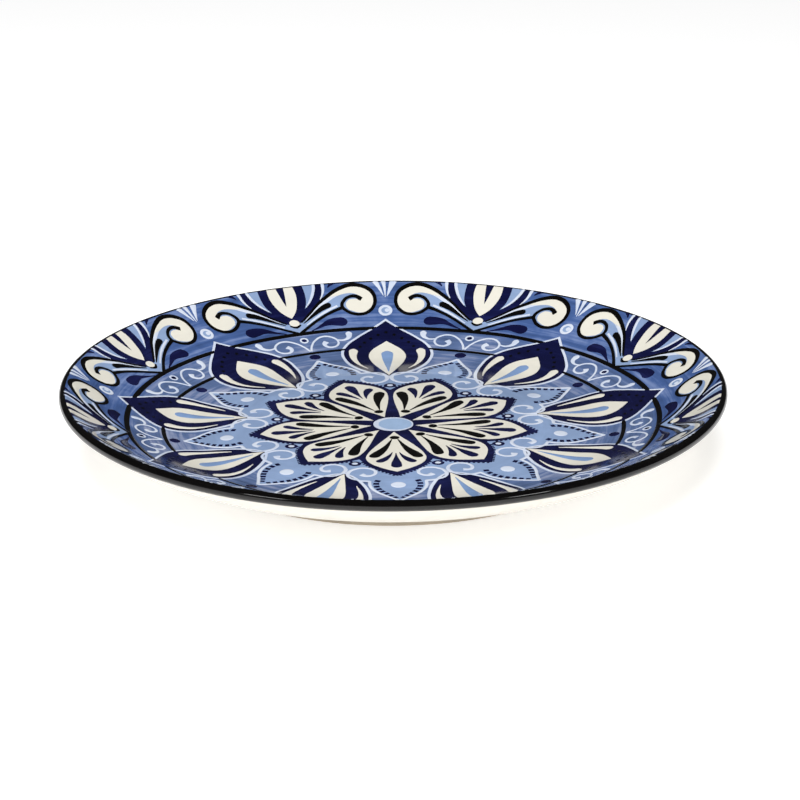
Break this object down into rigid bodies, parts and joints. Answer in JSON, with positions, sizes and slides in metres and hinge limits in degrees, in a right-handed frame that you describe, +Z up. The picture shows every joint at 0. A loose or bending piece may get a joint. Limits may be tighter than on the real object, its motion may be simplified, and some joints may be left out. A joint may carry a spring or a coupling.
{
  "type": "plate",
  "caption": "Round shallow dinner plate with a turned foot, a rounded lip and a raised hand painted floral medallion in blues, white and black.",
  "frame": {"origin": "centre of the circle on which the foot stands, in the plane of its bottom", "axes": "+Z up out of the well, along the plate's axis; +Y along the middle of a painted leaf, -Y along the middle of a flower petal"},
  "size_m": [0.27, 0.27, 0.0303],
  "materials": {
    "clay": "matt, bare fired clay",
    "cream_glaze": "gloss",
    "blue_wash": "gloss, brushed wash",
    "light_blue": "gloss",
    "navy": "gloss",
    "black": "gloss",
    "cream": "gloss",
    "white": "gloss"
  },
  "bodies": {
    "root": {"clay_body": "clay", "outside_glaze": "cream_glaze", "base_glaze": "cream_glaze", "face_wash": "blue_wash", "lip_band": "black", "flower_centre": "light_blue", "flower_ground": "navy", "flower_petals": "cream", "petal_eyes": "black", "petal_short_strokes": "navy", "petal_long_strokes": "black", "lappets": "light_blue", "lappet_outlines": "white", "lappet_pearls": "white", "lappet_top_dots": "navy", "ringlets": "navy", "curls": "white", "leaf_outlines": "white", "leaves": "navy", "leaf_hearts": "cream", "leaf_heart_drops": "light_blue", "leaf_strokes": "white", "inner_line": "black", "outer_line": "black", "ring_scrolls": "white", "ring_scroll_tails": "white", "palmette_hearts": "cream", "palmette_petals": "light_blue", "palmette_beads": "white", "rim_scrolls": "white", "rim_commas": "navy", "rim_beads": "light_blue", "rim_rays": "white"}
  },
  "joints": []
}
